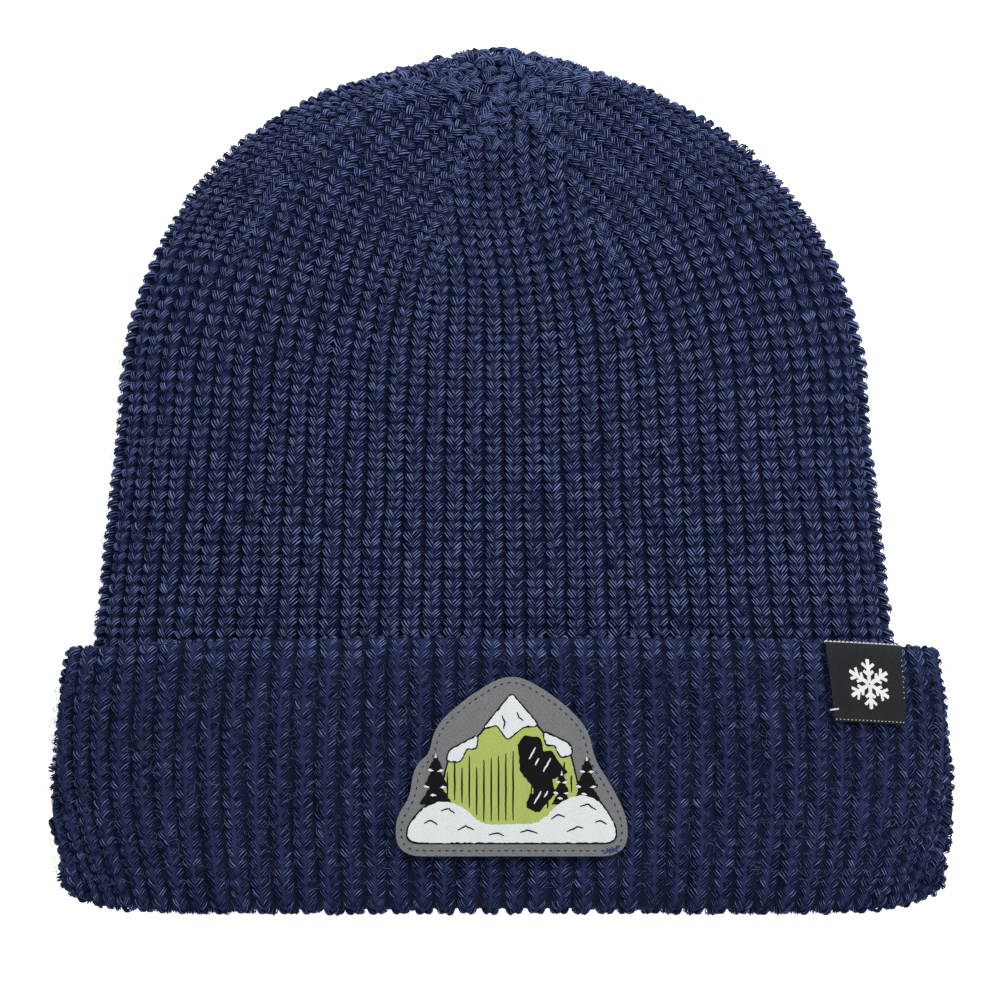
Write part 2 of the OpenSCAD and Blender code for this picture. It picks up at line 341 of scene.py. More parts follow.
def back_point(s):
    """(y, z) of the back's middle, which turns round at the top edge and comes forward to the tip."""
    flat = top_y - half_t - edge_r - cuff_y
    arc = math.pi * edge_r
    way = (flat + arc + top_y - half_t - edge_r - tip_y) * s / ALL_COURSES
    a = np.pi * np.clip((way - flat) / arc, 0, 1)
    y = cuff_y + np.minimum(way, flat) + edge_r * np.sin(a) - np.maximum(0, way - flat - arc)
    z = floor_z + edge_r * (1 - np.cos(a)) + LAYER_STEP * (1 - np.clip(s / LIFT_COURSES, 0, 1)) ** 2
    return y, z


def body_point(c, s):
    """A point of the body or the crown. The side folds turn in to the tip along a quarter of an ellipse."""
    v = s / ALL_COURSES
    crown = np.clip((s - BODY_COURSES) / (ALL_COURSES - BODY_COURSES), 0, 1)
    body = np.minimum(1, s / BODY_COURSES)
    turn = np.radians(90 * crown * (0.8 + 0.2 * crown))
    front_y = mix(cuff_y, tip_y, v * (1.07 - 0.07 * v))
    front_z = mix(stack_mid + cuff_rise - LAYER_STEP, tip_z, v)
    back_y, back_z = back_point(s)
    side_y = cuff_y + BODY_H * body + crown_reach * np.sin(turn) - (top_y - tip_y - half_t) * crown**6
    half = mix(body_half, crown_half, body) * np.maximum(0, np.cos(turn)) ** CROWN_PINCH
    mid = BODY_SHIFT + SHOULDER_SHIFT * smooth((v - 0.55) / 0.25)
    mid = mid + (TIP_SHIFT - SHOULDER_SHIFT) * smooth((v - 0.78) / 0.22)
    side = (side_y, (front_z + back_z) / 2)
    return ring(c, mid, half, (front_y, front_z), side, (back_y, back_z))


def fabric(c, s):
    """The middle of the fabric at rib c and course s."""
    body = body_point(c, np.clip(s, 0, ALL_COURSES))
    band = band_point(c, np.clip(1 - s / BAND_END, 0, 1))
    turn = turn_point(c, np.clip((BAND_END - s) / (BAND_END - CUFF_START), 0, 1))
    cuff = cuff_point(c, np.clip((CUFF_START - s) / (CUFF_START - CUFF_TOP), 0, 1))
    zone = [(s >= 0)[..., None], (s >= BAND_END)[..., None], (s >= CUFF_START)[..., None]]
    return np.select(zone, [body, band, turn], cuff)


def place(c, s, side):
    """Point of the fabric's middle and its direction out of the shown side.
    Courses past the cuff's edge roll over it, from the outside to the inside."""
    c, s = np.broadcast_arrays(np.asarray(c, float), np.asarray(s, float))
    # Directions are measured this far to each side, within one zone
    e = 0.15
    k = np.clip(s, CUFF_TOP + e, ALL_COURSES - e)
    k = np.where((k > 0) & (k < e), e, k)
    k = np.where((k <= 0) & (k > -e), -e, k)
    run = fabric(c + e, k) - fabric(c - e, k)
    climb = fabric(c, k + e * 0.99) - fabric(c, k - e * 0.99)
    normal = side * unit(np.cross(run, climb))
    point = fabric(c, np.maximum(s, CUFF_TOP))
    course_h = np.linalg.norm(climb, axis=-1) / (2 * e)
    roll = np.clip((CUFF_TOP - s) * course_h / half_t, 0, math.pi)[..., None]
    up = unit(-climb)
    return point, np.where(roll > 0, np.cos(roll) * normal + np.sin(roll) * up, normal)


# ---- meshes
def add_object(name, data):
    made = bpy.data.objects.new(name, data)
    bpy.context.scene.collection.objects.link(made)
    return made


def make_mesh(name, verts, faces, material, uvs=None, tone=None):
    """A smooth mesh in metres from millimetre points and index arrays of 3 or 4 corners."""
    mesh = bpy.data.meshes.new(name)
    mesh.vertices.add(len(verts))
    mesh.vertices.foreach_set("co", (np.asarray(verts) * MM).astype(np.float32).ravel())
    corners = np.concatenate([np.asarray(f).ravel() for f in faces])
    counts = np.concatenate([np.full(len(f), np.shape(f)[1]) for f in faces])
    mesh.loops.add(len(corners))
    mesh.loops.foreach_set("vertex_index", corners.astype(np.int32))
    mesh.polygons.add(len(counts))
    starts = np.concatenate([[0], np.cumsum(counts)[:-1]])
    mesh.polygons.foreach_set("loop_start", starts.astype(np.int32))
    mesh.polygons.foreach_set("use_smooth", np.ones(len(counts), bool))
    for layer, uv in (uvs or {}).items():
        data = mesh.uv_layers.new(name=layer)
        data.uv.foreach_set("vector", np.asarray(uv, np.float32).ravel())
    if tone is not None:
        mesh.attributes.new("tone", "FLOAT", "POINT").data.foreach_set("value", tone.astype(np.float32))
    mesh.update(calc_edges=True)
    mesh.materials.append(material)
    return add_object(name, mesh)


# How much lighter the crest of a strand is painted than its underside (painted highlight and painted shade), how many
# sides yarn and thread have, the most triangles in a piece, and the margin round each strand's place in the texture
# that is baked
CREST_PAINTED_LIGHT = 0.48
YARN_SIDES = 3
THREAD_SIDES = 6
PIECE_TRIANGLES = 190000
BAKE_MARGIN = 0.06


class Strands:
    """Closed tapered tubes, gathered and then made into pieces of one mesh each."""

    def __init__(self):
        self.batches = []

    def add(self, centre, side, up, radius, tone):
        """centre is (n, rings, 3), side and up span each ring, radius and tone are (n, rings)."""
        self.batches.append((centre, side, up, radius, tone))

    def pieces(self, name, material, sides):
        """Meshes of all the tubes, shared out so that none has too many triangles."""
        per_tube = 2 * self.batches[0][0].shape[1] * sides
        whole = [np.concatenate(b) for b in zip(*self.batches)]
        n = len(whole[0])
        count = max(1, math.ceil(n * per_tube / PIECE_TRIANGLES))
        made = []
        for i, part in enumerate(np.array_split(np.arange(n), count)):
            label = name if count == 1 else f"{name}_{i + 1}"
            made.append(tube_mesh(label, *(array[part] for array in whole), sides, material))
        return made


def tube_frame(centre, normal):
    """The directions sideways and up along tubes that lie on a surface with this normal."""
    forward = unit(np.gradient(centre, axis=1))
    side_way = unit(np.cross(normal, forward))
    return side_way, np.cross(forward, side_way)


def uv_pairs(x, y):
    return np.stack(np.broadcast_arrays(x, y), -1)


def tube_mesh(name, centre, side, up, radius, tone, sides, material):
    """One mesh of many tubes. Its first UV layer gives every tube a cell of its own to bake into, and its
    second runs along each strand."""
    n, rings = radius.shape
    turn = math.pi / 2 + np.arange(sides) * 2 * math.pi / sides
    hoop = side[:, :, None] * np.cos(turn)[:, None] + up[:, :, None] * np.sin(turn)[:, None]
    wall = centre[:, :, None] + hoop * radius[:, :, None, None]
    ends = centre[:, [0, -1]] + (centre[:, [0, -1]] - centre[:, [1, -2]]) * 0.25
    verts = np.concatenate([wall.reshape(n, -1, 3), ends], 1)
    # Painted highlight on the top of each strand, and painted shade on its underside and its end caps
    crest_painted_light = tone[:, :, None] + CREST_PAINTED_LIGHT * np.sin(turn)
    verts_tone = np.concatenate([crest_painted_light.reshape(n, -1), tone[:, [0, -1]] - CREST_PAINTED_LIGHT], 1)
    size = rings * sides + 2
    base = np.arange(n)[:, None, None] * size
    quads = (base + grid_faces(rings, sides, True)).reshape(-1, 4)
    k = np.arange(sides)
    k1 = (k + 1) % sides
    last = (rings - 1) * sides
    start = np.stack([np.full(sides, size - 2), k1, k], -1)
    stop = np.stack([np.full(sides, size - 1), last + k, last + k1], -1)
    tris = (base + np.concatenate([start, stop])).reshape(-1, 3)
    left, middle, right = ((np.arange(sides) + shift) / sides for shift in (0, 0.5, 1))
    rows = (np.arange(rings) + 1) / (rings + 1)
    low, high = rows[:-1, None], rows[1:, None]
    corners = (left, low), (right, low), (right, high), (left, high)
    quad_uv = np.stack([uv_pairs(x, y) for x, y in corners], 2).reshape(-1, 4, 2)
    start_uv = np.stack([uv_pairs(middle, 0.0), uv_pairs(right, rows[0]), uv_pairs(left, rows[0])], 1)
    stop_uv = np.stack([uv_pairs(middle, 1.0), uv_pairs(left, rows[-1]), uv_pairs(right, rows[-1])], 1)
    across_n = math.ceil(math.sqrt(2 * n))
    down_n = math.ceil(n / across_n)
    cell = uv_pairs(np.arange(n) % across_n, np.arange(n) // across_n)[:, None, None]

    def atlas(uv):
        return ((cell + BAKE_MARGIN + (1 - 2 * BAKE_MARGIN) * uv) / [across_n, down_n]).reshape(-1, 2)

    def along(uv):
        # The tone moves each strand to another stretch of the fibre pattern
        shift = (tone[:, 0] * 97)[:, None, None, None] * [0, 1]
        return (uv[None] + shift).reshape(-1, 2)

    cap_uv = np.concatenate([start_uv, stop_uv])
    uvs = {
        "OFBake": np.concatenate([atlas(quad_uv), atlas(cap_uv)]),
        "strand": np.concatenate([along(quad_uv), along(cap_uv)]),
    }
    return make_mesh(name, verts.reshape(-1, 3), [quads, tris], material, uvs, verts_tone.ravel())


def grid_faces(rows, cols, closed):
    """Quads between the points of a grid of rows by cols; a closed one joins its last column to its first."""
    i, j = np.meshgrid(np.arange(rows - 1), np.arange(cols if closed else cols - 1), indexing="ij")
    j1 = (j + 1) % cols
    quad = np.stack([i * cols + j, i * cols + j1, (i + 1) * cols + j1, (i + 1) * cols + j], -1)
    return quad.reshape(-1, 4)


def slab(name, top, under, material, closed=False, tone=None):
    """A closed solid between two grids of points, given as (rows, columns, 3), with the tones of its top and
    its underside."""
    rows, cols = top.shape[:2]
    n = rows * cols
    skin = grid_faces(rows, cols, closed)
    faces = [skin, skin[:, ::-1] + n]
    j = np.arange(cols if closed else cols - 1)
    j1 = (j + 1) % cols
    faces.append(np.stack([j, n + j, n + j1, j1], -1))
    end = n - cols
    faces.append(np.stack([end + j, end + j1, n + end + j1, n + end + j], -1))
    if not closed:
        i = np.arange(rows - 1) * cols
        faces.append(np.stack([i, i + cols, n + i + cols, n + i], -1))
        i = i + cols - 1
        faces.append(np.stack([i, n + i, n + i + cols, i + cols], -1))
    points = np.concatenate([top.reshape(-1, 3), under.reshape(-1, 3)])
    return make_mesh(name, points, faces, material, tone=tone)


def finish_piece(piece, slot, *nodes):
    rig.ride(piece, "root")
    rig.slot(piece, slot)
    if nodes:
        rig.replaces(piece, *nodes)
    return piece


# ---- materials
def new_material(name, base, roughness, specular=0.3):
    mat = bpy.data.materials.new(name)
    mat.use_nodes = True
    shader = mat.node_tree.nodes["Principled BSDF"]
    shader.inputs["Base Color"].default_value = (*base, 1)
    shader.inputs["Roughness"].default_value = roughness
    shader.inputs["Specular IOR Level"].default_value = specular
    return mat, mat.node_tree, shader


def node(tree, kind, inputs=None, **values):
    made = tree.nodes.new(kind)
    for key, value in values.items():
        setattr(made, key, value)
    for key, value in (inputs or {}).items():
        if isinstance(value, bpy.types.NodeSocket):
            tree.links.new(value, made.inputs[key])
        else:
            made.inputs[key].default_value = value
    return made


def ramp(tree, factor, stops):
    made = node(tree, "ShaderNodeValToRGB", {"Fac": factor})
    bar = made.color_ramp
    while len(bar.elements) < len(stops):
        bar.elements.new(0.5)
    for element, (at, colour) in zip(bar.elements, stops):
        element.position = at
        element.color = (*colour, 1)
    return made.outputs["Color"]


def maths(tree, operation, *values):
    return node(tree, "ShaderNodeMath", dict(enumerate(values)), operation=operation).outputs[0]


def noise(tree, vector, scale, detail):
    inputs = {"Vector": vector, "Scale": scale, "Detail": detail}
    return node(tree, "ShaderNodeTexNoise", inputs).outputs["Fac"]


def add_bump(tree, shader, height, strength, distance):
    inputs = {"Height": height, "Strength": strength, "Distance": distance}
    tree.links.new(node(tree, "ShaderNodeBump", inputs).outputs["Normal"], shader.inputs["Normal"])


def yarn_material(name, dark, mid, light):
    """Soft-spun yarn: each strand has its own tone, and fibres run along it. The tone attribute also carries painted
    highlights on strand crests and painted shade on their undersides and in the gaps.
    """
    mat, tree, shader = new_material(name, mid, 0.9, 0.06)
    tone = node(tree, "ShaderNodeAttribute", attribute_name="tone").outputs["Fac"]
    strand = node(tree, "ShaderNodeUVMap", uv_map="strand").outputs["UV"]
    stretch = node(tree, "ShaderNodeMapping", {"Vector": strand, "Scale": (9, 3.2, 1)}).outputs["Vector"]
    fibre = noise(tree, stretch, 1.6, 4)
    patch = noise(tree, node(tree, "ShaderNodeTexCoord").outputs["Object"], 60.0, 3)
    grain = maths(tree, "MULTIPLY_ADD", fibre, 2.1, -1.11)
    blend = maths(tree, "ADD", maths(tree, "MULTIPLY_ADD", patch, 0.12, grain), tone)
    tree.links.new(ramp(tree, blend, [(0.0, dark), (0.5, mid), (1.0, light)]), shader.inputs["Base Color"])
    add_bump(tree, shader, fibre, 0.6, 0.00012)
    return mat


yarn = yarn_material("navy_yarn", (0.0050, 0.0074, 0.023), (0.0265, 0.0390, 0.124), (0.183, 0.240, 0.487))
# The ground's yarn is darker than the stitches' yarn: painted shade in the gaps between the ribs
ground_shade_mat = yarn_material("navy_yarn_painted_shade", (0.004, 0.0055, 0.015), (0.018, 0.025, 0.074),
                           (0.034, 0.047, 0.142))


# ---- stitches
def remaining(s):
    """Share of a gore's ribs that are left at a course, as the darts take them up."""
    t = np.clip((s - DART_COURSE) / (ALL_COURSES - DART_COURSE), 0, 0.97)
    return 1 - t**1.6


def noise_rows(columns, courses, reach):
    """Smooth random offsets along each rib, one row per rib."""
    raw = rng.normal(size=(columns, courses + 2 * reach))
    kernel = np.hanning(2 * reach + 1)
    return np.array([np.convolve(row, kernel / np.linalg.norm(kernel), "valid") for row in raw])


# How far each rib wanders to its side from course to course, in ribs
WANDER_MARGIN = 4
WANDER = noise_rows(RIBS + 1, ALL_COURSES - CUFF_TOP + 10, WANDER_MARGIN) * 0.035

# How finely the stitches are made where they show, at the back and inside
FRONT = {"rings": 7, "strands": 3}
BACK = {"rings": 5, "strands": 3}
INSIDE = {"rings": 4, "strands": 2}
# Height of the top of a rib over the middle of the fabric, and half its width in ribs
RIB_TOP = 1.55
RIB_REACH = 0.275
# The middle of a leg, a purl bump and a loose fibre is never lower than this over the table
LEG_FLOOR, PURL_FLOOR, FUZZ_FLOOR = 1.05, 0.6, 0.2
# Tone of the yarn, the painted shade that darkens a bundle's core between its strands, and the painted shade added to
# the cuff's stitches
LEG_TONE = 0.515
CORE_PAINTED_SHADE = 0.6
CUFF_PAINTED_SHADE = -0.23
# A leg starts at this angle round its rib and ends at the next, a little past the rib's side
LEG_START, LEG_END = 0.28, 1.75
# Half the thickness of a leg for a stitch's height and for a rib's width, and its limits
GIRTH_BY_HEIGHT, GIRTH_BY_WIDTH = 0.355, 0.178
GIRTH_LOW, GIRTH_HIGH = 0.43, 0.95
# How far the stitches past the cuff's edge stand out
EDGE_LIFT = -0.4


def rib_step(c, s):
    """The way from one rib to the next, measured round a place."""
    return fabric(c + 0.5, s) - fabric(c - 0.5, s)


def square(rib, c, s):
    """The course at which c lies square across its rib, where the courses run aslant round the side fold."""
    aslant = fabric(c, s) - fabric(rib, s)
    climb = fabric(rib, s + 0.5) - fabric(rib, s - 0.5)
    level = s - (aslant * climb).sum(-1) / np.maximum((climb**2).sum(-1), 0.01)
    return np.where(s > 1, np.clip(level, 1, ALL_COURSES - 1), s)


def legs(mid, index, course, way, side, detail, width=1.0, lift=0.0, hole=LEG_START, shade=0.0, step=1.0):
    """Both legs of knit stitches, each a bundle of strands round a core darkened with painted shade between the
    strands, that winds round its rib from its middle down into the gap. way is the course direction in which the V
    opens, hole is the angle at which its legs start, shade is painted shade added to the tone, and step is the height
    of a stitch in courses."""
    n = len(index)
    mid, index, course = (np.repeat(np.asarray(v, float), 2) for v in (mid, index, course))
    lift, width = (np.repeat(np.broadcast_to(np.asarray(v, float), n), 2)[:, None] for v in (lift, width))
    half = np.tile([-1.0, 1.0], n)
    rib = np.floor(index + mid).astype(int) % RIBS
    row = np.clip(np.round(course).astype(int) - CUFF_TOP + WANDER_MARGIN, 0, WANDER.shape[1] - 1)
    wander = WANDER[rib, row]
    t = np.linspace(0, 1, detail["rings"])[None, :]
    jitter = rng.normal(size=(6, 2 * n, 1))
    wind = mix(hole, LEG_END + 0.06 * jitter[0], t)
    out = RIB_REACH * np.sin(wind) * width
    climb = 0.05 + 0.50 * np.sin(np.minimum(wind, math.pi / 2)) + 0.17 * t + 0.08 * jitter[1]
    s = course[:, None] + way * step * climb
    rib_c = mid[:, None] + (index[:, None] + wander[:, None]) / remaining(s)
    c = rib_c + half[:, None] * out / remaining(s)
    s = np.where(np.abs(wrap(c)) > RIBS / 4 - 1.2, square(rib_c, c, s), s)
    # A leg comes out of the stitch below it, so it starts deeper, and painted shade darkens its tone there
    start = smooth((0.28 - t) / 0.28)
    depth = RIB_TOP * np.cos(wind) - 0.8 * start + 0.14 * jitter[2] + lift
    point, normal = place(c, s, side)
    centre = point + normal * depth[..., None]
    centre[..., 2] = np.maximum(centre[..., 2], LEG_FLOOR)
    middle = detail["rings"] // 2
    forward = unit(np.gradient(centre, axis=1))
    # The bundle stays as flat as it starts and bends over the rib's edge without turning
    flat_way = unit(centre[:, middle] - centre[:, 0])[:, None]
    side_way = np.cross(normal, flat_way)
    side_way = unit(side_way - forward * (side_way * forward).sum(-1, keepdims=True))
    up = np.cross(forward, side_way)
    c_mid, s_mid = c[:, middle], s[:, middle]
    high = np.linalg.norm(fabric(c_mid, s_mid + step / 2) - fabric(c_mid, s_mid - step / 2), axis=-1)
    pitch = np.linalg.norm(rib_step(c_mid, s_mid), axis=-1) / remaining(s_mid) * width[:, 0]
    girth = np.clip(np.minimum(GIRTH_BY_HEIGHT * high, GIRTH_BY_WIDTH * pitch), GIRTH_LOW, GIRTH_HIGH)
    girth = girth * (1 + 0.09 * jitter[3][:, 0])
    swell = (0.86 + 0.14 * np.sin(np.pi * t)) * girth[:, None]
    twist = (0.5 + 0.2 * jitter[4]) * (t - 0.5) * 2
    # Painted shade: the tone darkens as the leg winds down the rib's side into the gap, and where it starts deep
    tone = LEG_TONE + 0.05 * jitter[5] + 0.24 * (np.cos(wind) - 0.9) - 0.36 * start + shade
    ends = np.where((t == 0) | (t == 1), 0.5, 1)
    tubes = Strands()
    # The core's lower tone is painted shade between the strands
    tubes.add(centre, side_way, up, 0.72 * swell * ends, tone - CORE_PAINTED_SHADE)
    for k in range(detail["strands"]):
        x0 = mix(-0.76, 0.76, k / (detail["strands"] - 1)) + rng.normal(size=(2 * n, 1)) * 0.05
        h0 = 0.80 * np.sqrt(np.clip(1 - x0**2, 0, 1)) + rng.normal(size=(2 * n, 1)) * 0.08
        x = x0 * np.cos(twist) - h0 * np.sin(twist) * 0.5
        h = h0 * np.cos(twist) + x0 * np.sin(twist) * 0.5
        line = centre + side_way * (x * swell)[..., None] + up * (h * swell)[..., None]
        r = 0.79 / detail["strands"] * swell * (1 + 0.12 * rng.normal(size=(2 * n, 1)))
        tubes.add(line, side_way, up, r * ends, tone + 0.17 * rng.normal(size=(2 * n, 1)))
    return tubes


def purls(mid, index, course, side, lift):
    """Purl bumps: short arcs across the gap between two ribs, two strands each."""
    n = len(index)
    mid, index, course = (np.asarray(v, float)[:, None] for v in (mid, index, course))
    t = np.linspace(0, 1, BACK["rings"])[None, :]
    s = course + 0.30 - 0.35 * np.sin(np.pi * t) + 0.05 * rng.normal(size=(n, 1))
    c = mid + (index + mix(-0.24, 0.24, t)) / remaining(s)
    lift_row = np.broadcast_to(lift, n)[:, None]
    depth = -1.7 + 0.9 * np.sin(np.pi * t) ** 0.8 + lift_row
    point, normal = place(c, s, side)
    centre = point + normal * depth[..., None]
    centre[..., 2] = np.maximum(centre[..., 2], PURL_FLOOR)
    side_way, up = tube_frame(centre, normal)
    tubes = Strands()
    for k in (-1, 1):
        line = centre + side_way * 0.3 * k
        r = np.where((t == 0) | (t == 1), 0.2, 0.36) * (1 + 0.1 * rng.normal(size=(n, 1)))
        # Painted shade: the bumps are dark deep in the gap and lighter the more they are lifted
        tubes.add(line, side_way, up, r, 0.06 + 0.3 * lift_row + 0.1 * rng.normal(size=(n, 1)) + 0 * t)
    return tubes


def is_front(c):
    return np.abs(wrap(c)) < RIBS / 4 + 1.6


def columns(low, high, side):
    """Every rib and course of a plain zone, split into the front and the back. The ribs of one side of the
    fabric stand over the gaps of the other side."""
    first = -RIBS // 2 + (0 if side > 0 else 0.5)
    c, s = np.meshgrid(first + np.arange(RIBS), np.arange(low, high), indexing="ij")
    c, s = c.ravel(), s.ravel()
    front = is_front(c)
    return (c[front], s[front]), (c[~front], s[~front])


knit_pieces = []


def knit(name, node_name, batches):
    """Makes the pieces of one zone out of its Strands, those with as many rings together."""
    by_rings = {}
    for tubes in batches:
        by_rings.setdefault(tubes.batches[0][0].shape[1], Strands()).batches += tubes.batches
    for letter, tubes in zip("abc", by_rings.values()):
        for piece in tubes.pieces(f"{name}_{letter}", yarn, YARN_SIDES):
            knit_pieces.append(finish_piece(piece, "navy_knit", node_name))


def knit_zone(name, node_name, low, high, way, side, details=(FRONT, BACK), purl_lift=None, **look):
    """A zone of plain rib between two courses: knit stitches on the ribs, and purl bumps in the gaps unless
    they can't be seen. Stitches past the cuff's edge sink in."""
    batches = []
    for (c, s), detail in zip(columns(low, high, side), details):
        base = s + (0.5 - 0.5 * way)
        lift = np.where(s < CUFF_TOP, EDGE_LIFT, 0)
        batches.append(legs(0 * c, c, base, way, side, detail, lift=lift, **look))
        if purl_lift is not None:
            batches.append(purls(0 * c, c + 0.5, s, side, purl_lift))
    knit(name, node_name, batches)


knit_zone("knit_body_stitches", "knit_body", -4, DART_COURSE, 1, 1, purl_lift=0.0)
# The cuff and hem stitches take painted shade
knit_zone("cuff_stitches", "cuff", EDGE_START, CUFF_START, -1, -1, purl_lift=0.0, hole=0.33, shade=CUFF_PAINTED_SHADE)
knit_zone("hem_stitches", "hem_fold", CUFF_START, BAND_END, -1, -1, purl_lift=0.35, shade=CUFF_PAINTED_SHADE)
knit_zone("inner_band_stitches", "inner_band", BAND_END, 0, -1, -1, details=(INSIDE, INSIDE))


def stitch_step(rib):
    """Height of a stitch in courses, where the stitches of a gore keep the height of the yarn's own gauge."""
    s = np.linspace(DART_COURSE, ALL_COURSES - 1, 40)
    path = fabric(np.full(40, float(rib)), s)
    length = np.linalg.norm(np.diff(path, axis=0), axis=1).sum()
    return (s[-1] - s[0]) / round(length / STITCH_H)


def gore_zone(name, middle, ribs):
    """A crown gore: its ribs end one by one as the darts take them up."""
    detail = FRONT if is_front(np.array(middle)) else BACK
    step = stitch_step(middle)
    courses = np.arange(DART_COURSE, ALL_COURSES - 1.5, step)
    j, s = np.meshgrid(np.arange(ribs) - (ribs - 1) / 2, courses, indexing="ij")
    j, s = j.ravel(), s.ravel()
    kept = (np.abs(j) - 0.2) / remaining(s + 0.5) <= ribs / 2
    j, s = j[kept], s[kept]
    steep = smooth((share(middle) - 0.3) / 0.4)
    filled_up = (0.2 + 0.7 * steep) * smooth((s - DART_COURSE) / 9)
    mid = middle + 0 * j
    batches = [legs(mid, j, s, 1, 1, detail, step=step), purls(mid, j + 0.5, s, 1, filled_up)]
    knit(name + "_stitches", name, batches)


for gore in GORES:
    gore_zone(*gore)


def dart_zone():
    """The linked seams of the darts: a narrow rib of stitches along each one."""
    batches = []
    for _, middle, ribs in GORES:
        edge = middle + ribs / 2
        step = stitch_step(edge)
        s = np.arange(DART_COURSE - 1, ALL_COURSES - 2, step)
        here = edge + 0 * s
        near_tip = smooth((s - 46) / 8)
        lift = np.where(s < DART_COURSE + 2, -0.8, -0.5) + 0.8 * near_tip
        detail = FRONT if is_front(np.array(edge)) else BACK
        width = 0.6 + 0.6 * near_tip
        # shade adds painted shade along the seam, where it lies in a valley
        batches.append(legs(here, 0 * s, s, 1, 1, detail, width=width, lift=lift, shade=-0.1, step=step))
    knit("crown_dart_seam_stitches", "crown_dart_seams", batches)


dart_zone()


def tie_zone():
    """The last stitches are drawn together: plump arcs of yarn crowd round the tip, ring by ring."""
    tubes = Strands()
    for s, count in ((59.9, 4), (59.2, 6), (58.4, 9), (57.4, 13), (56.1, 16), (54.8, 20), (53.5, 22)):
        c = (np.arange(count) + 0.35 * rng.normal(size=count)) * RIBS / count
        point, normal = place(c, s, 1)
        run = unit(rib_step(c, np.full(count, s)))
        climb = unit(np.cross(normal, run))
        turn = rng.uniform(-0.7, 0.7, size=(count, 1))
        way = run * np.cos(turn) + climb * np.sin(turn)
        t = np.linspace(-1, 1, FRONT["rings"])[None, :, None]
        lift = 1.5 + 0.25 * rng.normal(size=(count, 1, 1)) - 0.9 * t**2
        centre = point[:, None] + way[:, None] * t * 1.35 + normal[:, None] * lift
        centre = centre - np.cross(normal, way)[:, None] * 0.5 * t**2
        side_way, up = tube_frame(centre, normal[:, None])
        flat_t = t[..., 0]
        swell = 0.78 * (1 - 0.25 * flat_t**2) * np.ones((count, 1))
        # The dark core is painted shade between the strands
        tubes.add(centre, side_way, up, 0.74 * swell, 0.1 + 0 * swell)
        for x in (-0.8, -0.27, 0.27, 0.8):
            height = 0.8 * math.sqrt(1 - x * x)
            line = centre + side_way * (x * swell)[..., None] + up * (height * swell)[..., None]
            # Painted shade: each strand darkens towards the ends of its arc, where it dips down
            tone = 0.5 + 0.17 * rng.normal(size=(count, 1)) - 0.25 * flat_t**2
            tubes.add(line, side_way, up, 0.22 * swell, tone)
    knit("crown_tie_yarn", "crown_tie", [tubes])


tie_zone()


# The last courses of the cuff roll over its edge
knit_zone("cuff_bind_off_stitches", "cuff_bind_off", CUFF_TOP - 1, EDGE_START, -1, -1)


def fuzz_zone(name, low, high, side, count):
    """Fine loose fibres that stand off the yarn, on the front and round its edges."""
    c = np.round(rng.uniform(-RIBS / 4 - 1.5, RIBS / 4 + 1.5, count)) + rng.uniform(-0.3, 0.3, count)
    s = rng.uniform(low, high, count)
    # Fewer where the ribs crowd together, so that they are as dense everywhere
    kept = rng.uniform(0, 5.0, count) < np.linalg.norm(rib_step(c, s), axis=-1)
    c, s = c[kept], s[kept]
    n = len(c)
    point, normal = place(c, s, side)
    run = unit(rib_step(c, s))
    climb = np.cross(normal, run)
    turn = rng.uniform(0, 2 * math.pi, (n, 1))
    way, bow = run * np.cos(turn) + climb * np.sin(turn), climb * np.cos(turn) - run * np.sin(turn)
    t = np.linspace(-1, 1, 4)[None, :, None]
    length, bend = rng.uniform(0.4, 1.1, (n, 1, 1)), 0.35 * rng.normal(size=(n, 1, 1))
    height = rng.uniform(1.4, 2.3, (n, 1, 1)) + 0.35 * rng.normal(size=(n, 1, 1)) * t
    centre = point[:, None] + way[:, None] * length * t + bow[:, None] * bend * t**2
    centre = centre + normal[:, None] * height
    centre[..., 2] = np.maximum(centre[..., 2], FUZZ_FLOOR)
    side_way, up = tube_frame(centre, normal[:, None])
    radius = rng.uniform(0.025, 0.045, (n, 1)) * np.ones((1, 4))
    tubes = Strands()
    tubes.add(centre, side_way, up, radius, 0.5 + 0.2 * rng.normal(size=(n, 1)) + 0 * radius)
    knit_pieces.extend(finish_piece(piece, "navy_knit") for piece in tubes.pieces(name, yarn, YARN_SIDES))


fuzz_zone("body_fuzz", 0, ALL_COURSES - 2, 1, 8000)
fuzz_zone("cuff_fuzz", CUFF_TOP + 1, CUFF_START - 1, -1, 4000)


# ---- the fabric behind the stitches
def rib_phase(c, s):
    """Turns of the ribs on the outward side: a whole number is the middle of a rib."""
    phase = c.copy()
    for _, middle, ribs in GORES:
        from_middle = wrap(c - middle)
        here = (np.abs(from_middle) <= ribs / 2) & (s > DART_COURSE)
        phase = np.where(here, from_middle * remaining(s) + (ribs - 1) / 2, phase)
    return phase


def knit_ground():
    """The one closed sheet of fabric that the stitches stand on, from the cuff's edge to the tip. It folds in
    and out with the ribs of its two sides."""
    per_rib, thick = 6, 0.6
    c = np.arange(RIBS * per_rib) / per_rib - RIBS / 2
    s = np.concatenate([np.arange(CUFF_TOP, ALL_COURSES - 0.4), [ALL_COURSES - 0.5]])
    cc, ss = np.meshgrid(c, s)
    point, normal = place(cc, ss, 1)
    wave = np.cos(2 * np.pi * rib_phase(cc, ss))
    fold = -0.35 + 0.65 * wave[..., None]
    top = point + normal * (fold + thick / 2)
    under = point + normal * (fold - thick / 2)
    for side, lowest in ((top, 0.7), (under, 0.3)):
        side[..., 2] = np.maximum(side[..., 2], lowest)
    # Painted shade: the ground is darker where it folds in between the ribs and lighter where it folds out, on both
    # sides
    tone = np.concatenate([0.5 + 0.5 * wave.ravel(), 0.5 - 0.5 * wave.ravel()]) * 0.45 + 0.12
    return slab("knit_ground", top, under, ground_shade_mat, closed=True, tone=tone)


